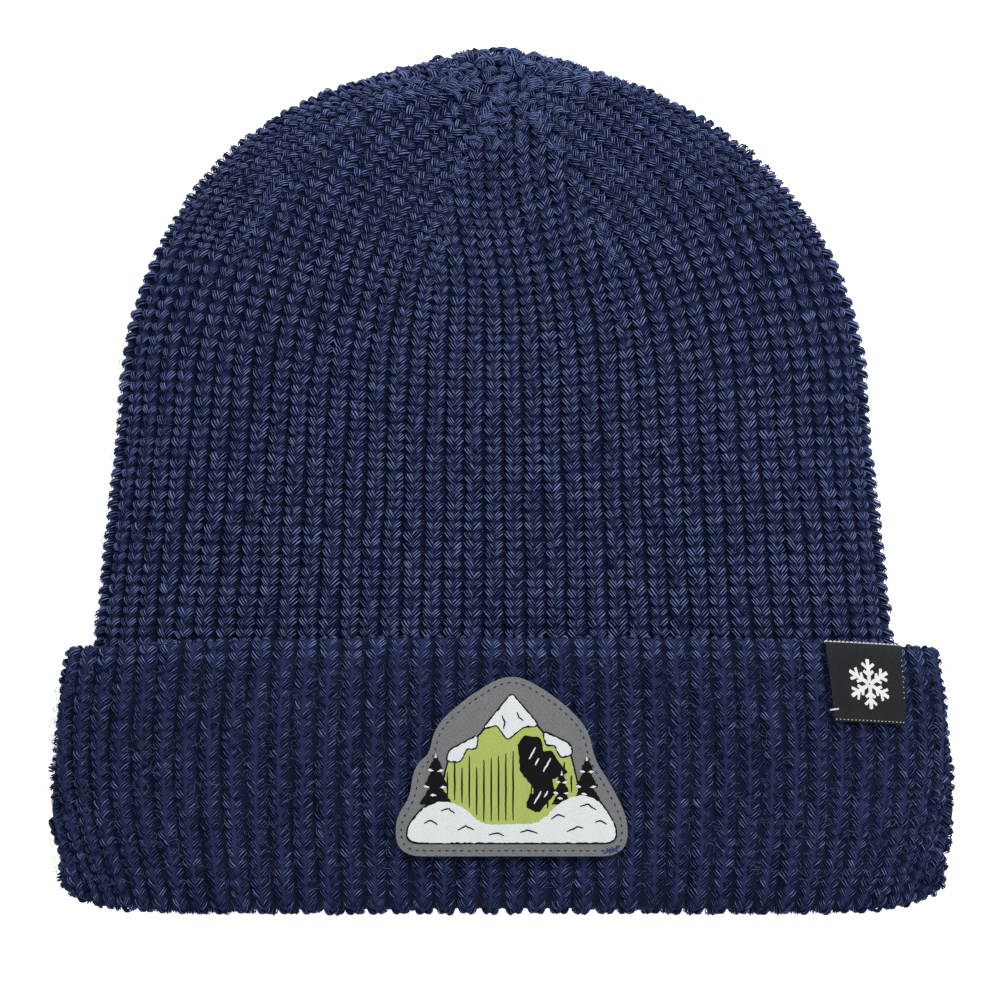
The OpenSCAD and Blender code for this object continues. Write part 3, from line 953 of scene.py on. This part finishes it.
ground = finish_piece(knit_ground(), "navy_knit", "back_seam")


# ---- flat art: badge and label
def rounded(points, reach, steps=6):
    """A closed outline whose corners are rounded, from at most reach millimetres before each of them."""
    points = np.array(points, float)
    t = np.linspace(0, 1, steps)[:, None]
    out = []
    for before, corner, after in zip(np.roll(points, 1, 0), points, np.roll(points, -1, 0)):
        sides = before - corner, after - corner
        a, b = (corner + unit(side) * min(reach, 0.45 * np.linalg.norm(side)) for side in sides)
        out.append((1 - t) ** 2 * a + 2 * t * (1 - t) * corner + t**2 * b)
    return np.concatenate(out)


def spaced(line, step, closed=True):
    """The same line, with its points an equal step apart."""
    if closed:
        line = np.concatenate([line, line[:1]])
    way = np.concatenate([[0], np.cumsum(np.linalg.norm(np.diff(line, axis=0), axis=1))])
    count = max(3, round(way[-1] / step))
    at = np.linspace(0, way[-1], count, endpoint=not closed)
    return np.stack([np.interp(at, way, line[:, k]) for k in (0, 1)], -1)


def tangents(line, closed=True):
    if closed:
        return unit(np.roll(line, -1, 0) - np.roll(line, 1, 0))
    return unit(np.gradient(line, axis=0))


def right_of(line, closed=True):
    """Unit vectors to the right of a line at each of its points."""
    way = tangents(line, closed)
    return np.stack([way[:, 1], -way[:, 0]], -1)


def twice_area(line):
    """Positive for a counterclockwise outline."""
    x, y = line[:, 0], line[:, 1]
    return np.dot(x, np.roll(y, -1)) - np.dot(y, np.roll(x, -1))


def grown(line, distance):
    """A closed outline moved outward."""
    return line + right_of(line) * np.sign(twice_area(line)) * distance


def rough(line, amount, closed=True):
    """A line with the small steps that weaving leaves in it."""
    return line + right_of(line, closed) * rng.normal(size=(len(line), 1)) * amount


def stroke(points, width, amount=0.05):
    """The outline of a pen stroke along some points, thinner at its ends."""
    line = rough(spaced(np.array(points, float), 0.5, closed=False), amount, closed=False)
    half = width / 2 * (0.35 + 0.65 * np.sin(np.linspace(0.1, 0.9, len(line)) * np.pi))[:, None]
    side_way = right_of(line, closed=False) * half
    return np.concatenate([line + side_way, (line - side_way)[::-1]])


def within(points, outline, margin):
    """Which points are inside an outline and at least margin away from its points."""
    a, b = outline, np.roll(outline, -1, 0)
    x, y = points[:, 0][:, None], points[:, 1][:, None]
    crosses = (a[:, 1] > y) != (b[:, 1] > y)
    slope = np.where(b[:, 1] == a[:, 1], 1, b[:, 1] - a[:, 1])
    hit = crosses & (x < a[:, 0] + (y - a[:, 1]) / slope * (b[:, 0] - a[:, 0]))
    far = np.linalg.norm(points[:, None] - outline[None], axis=-1).min(1) > margin
    return (hit.sum(1) % 2 == 1) & far


def filled(outline, spacing):
    """Points and triangles that fill a closed outline, with points inside it so that it can bend."""
    n = len(outline)
    low, high = outline.min(0), outline.max(0)
    x, y = np.meshgrid(np.arange(low[0], high[0], spacing), np.arange(low[1], high[1], spacing))
    extra = np.stack([x.ravel(), y.ravel()], -1)
    extra = extra[within(extra, outline, spacing * 0.5)]
    verts = [Vector(p) for p in np.concatenate([outline, extra])]
    edges = [(i, (i + 1) % n) for i in range(n)]
    points, _, faces, *_ = delaunay_2d_cdt(verts, edges, [], 1, 1e-6)
    return np.array([tuple(p) for p in points]), np.array([tuple(f) for f in faces])


def flat_art(name, parts, lay, material, spacing=1.2):
    """Thin closed sheets, each an (outline, low, high), laid on a surface. lay turns points of the drawing
    and heights into points of the hat."""
    verts, triangles, quads, first = [], [], [], 0
    for outline, low, high in parts:
        points, faces = filled(outline, spacing)
        a, b, c = (points[faces[:, k]] for k in range(3))
        turned_over = np.cross(b - a, c - a) < 0
        faces[turned_over] = faces[turned_over][:, ::-1]
        edges = np.concatenate([faces[:, [0, 1]], faces[:, [1, 2]], faces[:, [2, 0]]])
        paired = {tuple(e) for e in edges}
        rim = np.array([e for e in map(tuple, edges) if (e[1], e[0]) not in paired])
        n = len(points)
        verts += [lay(points, high), lay(points, low)]
        triangles += [first + faces, first + n + faces[:, ::-1]]
        quads.append(first + np.stack([n + rim[:, 0], n + rim[:, 1], rim[:, 1], rim[:, 0]], -1))
        first += 2 * n
    piece = make_mesh(name, np.concatenate(verts), triangles + quads, material)
    piece.data.set_sharp_from_angle(angle=math.radians(40))
    return piece


def sewn(lay, line, length, every, radius, height):
    """Running stitches along an open line of drawing points: short arcs of thread that dip at both ends."""
    line = spaced(line, every, closed=False)
    way = tangents(line, closed=False)
    t = np.linspace(-1, 1, 5)
    centre = np.stack([lay(p + w * length / 2 * t[:, None], height - 0.35 * t**2) for p, w in zip(line, way)])
    tubes = Strands()
    every_ring = np.ones(centre.shape[:2])
    tubes.add(centre, *tube_frame(centre, [0.0, 0.0, 1.0]), radius * every_ring, 0.5 * every_ring)
    return tubes


# Length of one wave of the wave texture at a scale of 1
WAVE_LENGTH = 0.314


def woven_material(name, dark, light, pitch, angle, roughness=0.75, specular=0.15):
    """Woven thread: fine slanted lines, each a little uneven, pitch millimetres apart."""
    mat, tree, shader = new_material(name, light, roughness, specular)
    place_co = node(tree, "ShaderNodeTexCoord").outputs["Object"]
    turn = {"Vector": place_co, "Rotation": (0, 0, math.radians(angle))}
    turned_co = node(tree, "ShaderNodeMapping", turn).outputs["Vector"]
    waves = {"Vector": turned_co, "Scale": WAVE_LENGTH / (pitch * MM), "Distortion": 1.2, "Detail": 2.0,
             "Detail Scale": 1.0}
    lines = node(tree, "ShaderNodeTexWave", waves).outputs["Fac"]
    grain = noise(tree, place_co, 2600.0, 3)
    blend = maths(tree, "MULTIPLY_ADD", grain, 0.6, maths(tree, "MULTIPLY", lines, 0.55))
    tree.links.new(ramp(tree, blend, [(0.2, dark), (0.85, light)]), shader.inputs["Base Color"])
    add_bump(tree, shader, blend, 0.5, 0.00005)
    return mat


# The badge is drawn round its own middle, and its outline then grows by BADGE_EDGE to 56 by 43
BADGE_OUTLINE = [(-26, -20), (26, -20), (26.5, -13), (22.5, -5), (18.5, 1), (17, 8.5), (11, 14.5), (2.5, 20),
                 (-2.5, 20), (-11, 14.5), (-17, 9), (-18.5, 2), (-22, -0.5), (-23, -8), (-26.5, -13)]
BADGE_EDGE = 1.5
PEAK = [(-19.2, -15), (18.2, -15), (13.5, 5), (7.5, 8), (0, 17), (-8, 7), (-14.5, 3.5)]
CAPS = [
    [(0, 17.4), (-6.8, 9.1), (-3.5, 10.2), (-1, 6.5), (2.6, 9.6), (6.4, 9.9)],
    [(-14.8, 3.9), (-15.6, 1.4), (-12.4, 1.2), (-10.8, 4.6), (-8.6, 4.2), (-8.2, 7.4)],
    [(13.9, 5.4), (7.6, 8.4), (8.4, 5), (10.4, 5.4), (11.8, 2.2), (14.5, 3)],
]
BANK = [(-24.8, -18.2), (24.8, -18.2), (25, -14.5), (21, -8), (16, -6.5), (11, -9), (7, -13.5), (-7, -14),
        (-11, -10), (-16, -8), (-21, -9.5), (-25, -14.5)]
# One side of a pine, and the foot and the size of each pine
PINE_HALF = [(4, 0), (1.5, 4), (3, 4), (1, 8), (2, 8), (0, 12)]
PINES = [(-18.2, -9, 1.0), (18, -8.5, 0.9), (12, -9, 0.65)]
TUFT = np.array([(-0.75, -0.15), (0.1, -0.35), (0.8, 0.05), (0.1, 0.3)])
PINE_CAP = np.array([(-0.28, -0.9), (0.28, -0.9), (0.0, 0.35)])
SHADED_SIDE = [(1.4, 5.2), (3, 7.6), (7, 7), (7.6, 3.6), (9.6, 4), (11.6, 0.6), (13.6, -1.6), (9.6, -3),
               (10.6, -6.4), (6.4, -11.2), (3.4, -9.8), (4.8, -4.6), (2, -1.2)]
# Contours drawn on the snow
CONTOURS = [
    [(-21, -13.6), (-19.4, -12.8), (-17.8, -13.9)], [(-17, -10.6), (-15.2, -10), (-13.6, -11.2)],
    [(-13, -15.2), (-11, -14.2), (-9, -15.2)], [(-5.5, -16.4), (-3.5, -15.9), (-1.8, -16.5)],
    [(2, -15.8), (4, -15.2), (6.2, -16)], [(9.5, -12.6), (11, -11.4), (12.8, -12)],
    [(13.2, -15.6), (15.6, -14.4), (17.2, -14.7)], [(16.4, -9.6), (18.2, -8.9), (20.2, -10.4)],
    [(20, -13.4), (21.4, -12.8), (22.8, -13.8)], [(-2.4, 12.2), (-1.6, 10.6), (-1.9, 9)],
    [(1.2, 13), (1.8, 11.8), (2.8, 11)],
]
# How far the stitching runs inside the badge's edge, the heights of the black, green and white threads and of
# the lines on the white, and how deep each layer reaches into the one below
STITCH_INSET = 1.35
BLACK_UP, GREEN_UP, WHITE_UP, LINE_UP = 0.06, 0.11, 0.16, 0.22
ROOT = 0.1

badge_low, badge_high = box_mm("badge_ground")
badge_under = box_mm("badge_backing")[0][2]
badge_mid = (badge_low + badge_high)[:2] / 2


def badge_lay(points, height):
    """The badge lies over the ribs with the faintest of waves."""
    x, y = points[..., 0], points[..., 1]
    wave = 0.10 * np.cos(2 * np.pi * (x + 0.6) / 5.9) + 0.16 * np.sin(x / 7.0 + 1) * np.cos(y / 8.0)
    z = badge_high[2] + height + wave - 0.1
    return np.stack([badge_mid[0] + x, badge_mid[1] + y, z + 0 * x], -1)


def badge_edge(inset):
    """The badge's outline, moved inward."""
    return grown(spaced(rounded(BADGE_OUTLINE, 4.5), 0.6), BADGE_EDGE - inset)


def pine(x, y, size):
    """A pine between its two ragged sides."""
    half = np.array(PINE_HALF) * size
    right = spaced(np.concatenate([[(0, 0)], half]), 0.45, closed=False)
    left = right[1:-1][::-1] * [-1, 1]
    both = np.concatenate([right, left]) + [x, y]
    return rough(both, 0.12)


def make_badge():
    outline_mat = woven_material("badge_grey_twill", (0.060, 0.062, 0.067), (0.235, 0.243, 0.252), 0.42, 50)
    green_mat = woven_material("badge_green_thread", (0.25, 0.30, 0.070), (0.46, 0.54, 0.145), 0.45, -40)
    white_mat = woven_material("badge_white_thread", (0.50, 0.54, 0.56), (0.76, 0.79, 0.80), 0.45, -40)
    black_mat = woven_material("badge_black_thread", (0.001, 0.001, 0.0012), (0.011, 0.0115, 0.012),
                               0.45, -40, specular=0.05)
    felt_mat = woven_material("badge_felt", (0.02, 0.02, 0.022), (0.07, 0.07, 0.075), 0.3, 10, 0.95)
    stitch_mat, _, _ = new_material("badge_stitch_thread", (0.012, 0.014, 0.026), 0.6)
    tack_mat, _, _ = new_material("tack_thread", (0.020, 0.035, 0.20), 0.5)

    thick = badge_high[2] - badge_low[2]
    felt_part = (badge_edge(0.5), badge_under - badge_high[2] + 0.15, -thick)
    felt = flat_art("badge_backing_felt", [felt_part], badge_lay, felt_mat, 1.6)
    edge = badge_edge(0)
    body = flat_art("badge_twill", [(edge, -thick, 0)], badge_lay, outline_mat)

    peak = spaced(rounded(PEAK, 0.6, 3), 0.6)
    caps = [spaced(rounded(cap, 0.8, 4), 0.5) for cap in CAPS]
    bank = spaced(rounded(BANK, 3.0), 0.6)
    black = [(grown(shape, 0.42), -ROOT, BLACK_UP) for shape in (peak, bank)]
    black += [(grown(cap, 0.38), GREEN_UP - ROOT, GREEN_UP + 0.02) for cap in caps]
    black += [(pine(x, y, size), -ROOT, WHITE_UP - 0.02) for x, y, size in PINES]
    shaded = rough(spaced(rounded(SHADED_SIDE, 0.5, 3), 0.5), 0.08)
    black.append((shaded, GREEN_UP - ROOT, GREEN_UP + 0.02))
    # The strata of the lit side from the snow bank up, and a few on the far side
    strata = []
    for x in np.arange(-15.4, 1.0, 1.75):
        low = np.interp(x, [-21, -16, -11, -7, 7], [-9.5, -8, -10, -14, -13.5]) + 0.9
        under_snow = 1.2 + 1.4 * math.sin(1.7 * x) if x < -8 else 3.6 + 0.3 * x
        high = min(-15 + (x + 19.2) * 3.9 - 1.2, under_snow)
        if high - low > 1.5:
            strata.append((x, low, high))
    strata += [(8.6, -10.0, -7.8), (12.6, -1.6, 1.2), (14.3, -6.2, -1.0), (16.0, -6.0, -3.4)]
    for x, low, high in strata:
        black.append((stroke([(x, low), (x, high)], 0.42, 0.03), GREEN_UP - ROOT, GREEN_UP + 0.03))
    black += [(stroke(points, 0.38), WHITE_UP - ROOT, LINE_UP) for points in CONTOURS]

    green = [(rough(peak, 0.04), -ROOT, GREEN_UP)]
    white = [(rough(shape, 0.08), -ROOT, WHITE_UP) for shape in (bank, *caps)]
    # Streaks of snow on the shaded side, and tufts on the pines
    marks = []
    for x, y, length in ((4.2, 3.2, 2.8), (5.6, 1.2, 1.6), (7.6, 0.4, 3.2), (5.4, -7.4, 3), (7.8, -6.6, 1.5)):
        marks.append(stroke([(x, y - length / 2), (x + length * 0.55, y + length / 2)], 0.42))
    for x, y, size in PINES:
        for side, u, v in ((-1, 2.2, 4.2), (1, 1.7, 4.1), (-1, 1.2, 8.2), (1, 1.1, 8.1), (-1, 0.6, 2.2)):
            tuft = TUFT * (0.7 + 0.4 * size) * [side, 1]
            marks.append(rough(spaced(tuft[::side], 0.3), 0.05) + [x + side * u * size, y + v * size])
        marks.append(spaced(PINE_CAP, 0.3) + [x, y + 12 * size])
    white += [(mark, WHITE_UP - ROOT, LINE_UP) for mark in marks]

    art = [
        finish_piece(flat_art("badge_green_art", green, badge_lay, green_mat), "badge_green", "badge_peak"),
        finish_piece(flat_art("badge_white_art", white, badge_lay, white_mat), "badge_white", "badge_snow"),
        finish_piece(flat_art("badge_black_art", black, badge_lay, black_mat), "badge_black", "badge_pines"),
    ]
    seam = spaced(badge_edge(STITCH_INSET), 0.5)
    stitches = sewn(badge_lay, np.concatenate([seam, seam[:1]]), 0.85, 1.75, 0.15, 0.10)
    art += [finish_piece(p, "badge_thread", "badge_stitching")
            for p in stitches.pieces("badge_running_stitch", stitch_mat, THREAD_SIDES)]
    corner = np.array(BADGE_OUTLINE[1]) + [-1.6, -0.3]
    tack = Strands()
    ends = (-1.5, 0.05, 0.5), (-0.9, 0.25, -0.4), (-0.3, 0.1, 0.6), (0.4, 0.4, -0.5), (0.8, 0.7, 0.7)
    for dx, dy, slant in ends:
        line = corner + np.array([dx, dy]) + np.outer(np.linspace(-0.5, 0.5, 4), [0.8, slant])
        tack.batches += sewn(badge_lay, line, 1.0, 1.0, 0.14, 0.24).batches
    art += [finish_piece(p, "tack_thread", "badge_tack")
            for p in tack.pieces("badge_tack_thread", tack_mat, THREAD_SIDES)]
    finish_piece(felt, "badge_felt", "badge_backing")
    finish_piece(body, "badge_twill", "badge_ground")
    area = abs(twice_area(edge)) / 2 * MM**2
    size = (edge.max(0) - edge.min(0)) * MM
    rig.sheet(body, flat=tuple(size), held="laid", rests_on=[felt.name], area=area, with_pieces=art)
    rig.sheet(felt, flat=tuple(size), held="laid", area=area * 0.97)


make_badge()

# The side label: its middle rib, its width in ribs, how far its front and back flaps hang down, its
# thickness, how far its lower end leans over, and by what share it narrows there
LABEL_RIB = 15.8
LABEL_RIBS = 3.5
LABEL_FRONT = 19
LABEL_BACK = 12
LABEL_T = 0.5
LABEL_LEAN = -0.2
LABEL_NARROWS = 0.09
label_low, label_high = box_mm("side_label")
label_w = label_high[0] - label_low[0]
label_r = half_t + 0.15 + LABEL_T / 2


def label_point(u, v, lift):
    """A place on the label: u across from its middle and v along, in millimetres from the top of the fold,
    with the front flap at v > 0. lift is the height over the ribbon's middle."""
    r = label_r + lift
    down = np.abs(v) - label_r * math.pi / 2
    flap = np.maximum(down, 0)
    c = LABEL_RIB + u / label_w * LABEL_RIBS * (1 - LABEL_NARROWS * flap / LABEL_FRONT)
    c = c + LABEL_LEAN / label_w * LABEL_RIBS * (flap / LABEL_FRONT - 0.4)
    edge = edge_line(c, EDGE_BOW) - half_t
    foot = foot_line(c)

    def cuff_at(cc, y):
        return cuff_point(cc, (y - foot) / (edge + half_t - foot))

    y = edge - flap
    run = cuff_at(c + 0.2, y) - cuff_at(c - 0.2, y)
    out = unit(np.stack([-run[..., 2], 0 * c, run[..., 0]], -1))
    bend = np.clip(down / label_r + math.pi / 2, 0, math.pi / 2)
    bend = np.where(v > 0, bend, -bend)
    bend = np.where(np.abs(v) < label_r * math.pi / 2, v / label_r, bend)
    ripple = 0.12 * np.cos(2 * np.pi * c) * np.clip(flap / 6, 0, 1)
    over = np.cos(bend)[..., None] * np.array([0, 1.0, 0]) + np.sin(bend)[..., None] * out
    return cuff_at(c, y) + over * (r + ripple)[..., None]


def make_label():
    black_mat = woven_material("label_black_damask", (0.001, 0.0013, 0.0016), (0.032, 0.036, 0.037),
                               0.42, 40, specular=0.05)
    white_mat = woven_material("label_white_thread", (0.55, 0.57, 0.59), (0.82, 0.83, 0.84), 0.4, -50)
    thread_mat, _, _ = new_material("label_sewing_thread", (0.62, 0.64, 0.64), 0.6)
    front = label_r * math.pi / 2 + LABEL_FRONT - label_r
    back = label_r * math.pi / 2 + LABEL_BACK
    u = np.linspace(-label_w / 2, label_w / 2, 22)
    v = np.concatenate([np.linspace(-back, -label_r * 1.6, 8), np.linspace(-label_r * 1.5, label_r * 1.5, 13),
                        np.linspace(label_r * 1.6, front, 18)])
    uu, vv = np.meshgrid(u, v)
    # Its lower end is drawn in a little by the stitching
    press = -0.22 * np.exp(-(((vv - front + 2.6) / 0.7) ** 2))
    top, under = (label_point(uu, vv, face + press) for face in (LABEL_T / 2, -LABEL_T / 2))
    ribbon = slab("label_ribbon", top, under, black_mat)
    ribbon.data.set_sharp_from_angle(angle=math.radians(50))
    finish_piece(ribbon, "label_ribbon", "side_label")

    def lay(points, height):
        return label_point(points[..., 0], points[..., 1], LABEL_T / 2 + height + 0 * points[..., 0])

    middle = np.array([0.3, label_r * math.pi / 2 + LABEL_FRONT / 2 - half_t - 0.2])
    flake = []
    for arm in range(6):
        turn = math.radians(60 * arm + 30)
        way = np.array([math.cos(turn), math.sin(turn)])
        aside = np.array([-way[1], way[0]])
        bars = [(0.2, 0, 6.0, 0, 0.95)]
        for start, size in ((2.1, 1.7), (3.6, 2.1)):
            bars += [(start, 0, start + size * 0.64, side * size * 0.77, 0.72) for side in (-1, 1)]
        for a0, b0, a1, b1, width in bars:
            p, q = way * a0 + aside * b0, way * a1 + aside * b1
            along = unit(q - p)
            normal = np.array([-along[1], along[0]]) * width / 2
            box = np.array([p - normal, q - normal, q + normal, p + normal])
            flake.append((rough(spaced(box, 0.4), 0.03)[::-1] + middle, -ROOT, 0.10 + 0.01 * (width < 0.9)))
    emblem = finish_piece(flat_art("label_snowflake", flake, lay, white_mat), "label_white", "label_emblem")

    # Along the fold, across the lower end, down the outer edge and a loose tail: the line, then each stitch's
    # length, spacing, radius and height
    threads = Strands()
    half = label_w / 2
    for line, *stitch in (
        ([(-half + 0.2, 0.9), (half - 0.2, 0.9)], 0.85, 1.05, 0.2, 0.12),
        ([(-half + 0.6, front - 0.5), (half - 0.6, front - 0.5)], 0.35, 1.0, 0.11, 0.06),
        ([(half - 0.25, 5.0), (half - 0.25, 14.0)], 0.35, 1.1, 0.1, 0.04),
        ([(-half - 0.5, front - 2.7), (-half + 0.9, front - 2.9)], 0.9, 0.7, 0.24, 0.2),
    ):
        threads.batches += sewn(lay, np.array(line), *stitch).batches
    sewing = [finish_piece(p, "label_white", "label_stitching")
              for p in threads.pieces("label_stitches", thread_mat, THREAD_SIDES)]
    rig.sheet(ribbon, flat=(label_w * MM, (front + back) * MM), held="folded", with_pieces=[emblem, *sewing])


make_label()


# ---- floor, lights and camera
def studio():
    """A white glowing table, white light all round and one lamp from above the crown."""
    bpy.ops.mesh.primitive_plane_add(size=6, location=(0, 0, 0))
    floor = bpy.context.object
    floor.name = "floor"
    white, _, glow = new_material("studio_floor", (0.93, 0.93, 0.93), 0.9)
    floor.data.materials.append(white)
    glow.inputs["Emission Color"].default_value = (1, 1, 1, 1)
    glow.inputs["Emission Strength"].default_value = 0.7
    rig.stage(floor)
    world = bpy.data.worlds.new("studio")
    bpy.context.scene.world = world
    world.use_nodes = True
    sky = world.node_tree.nodes["Background"]
    sky.inputs["Color"].default_value = (1, 1, 1, 1)
    sky.inputs["Strength"].default_value = 0.65
    lamp = bpy.data.lights.new("key", "AREA")
    lamp.size = 0.45
    lamp.energy = 4.6
    key = add_object("key", lamp)
    key.location = (0.28, 0.42, 0.62)
    key.rotation_euler = (-key.location).to_track_quat("-Z", "Y").to_euler()


def camera():
    """A long lens straight above the hat, the way it lies on the table."""
    distance = 1.6
    view_width = 0.242
    data = bpy.data.cameras.new("camera")
    data.lens = data.sensor_width * distance / view_width
    data.clip_start = 0.1
    eye = add_object("camera", data)
    eye.location = (-0.0006, -0.0046, distance + cuff_stack * MM / 2)
    bpy.context.scene.camera = eye
    bpy.context.scene.view_settings.view_transform = "Standard"


studio()
camera()

flat_w = RIBS * RIB_W * MM
flat_l = (ALL_COURSES - CUFF_TOP) * STITCH_H * MM
area = flat_w * flat_l * DARTED_SHARE
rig.sheet(ground, flat=(flat_w, flat_l), held="folded", area=area, with_pieces=knit_pieces)

visual_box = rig.bounds()
with open("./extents.json", "w") as f:
    json.dump({"cad": [list(p) for p in cad_box], "visual": [list(p) for p in visual_box]}, f)
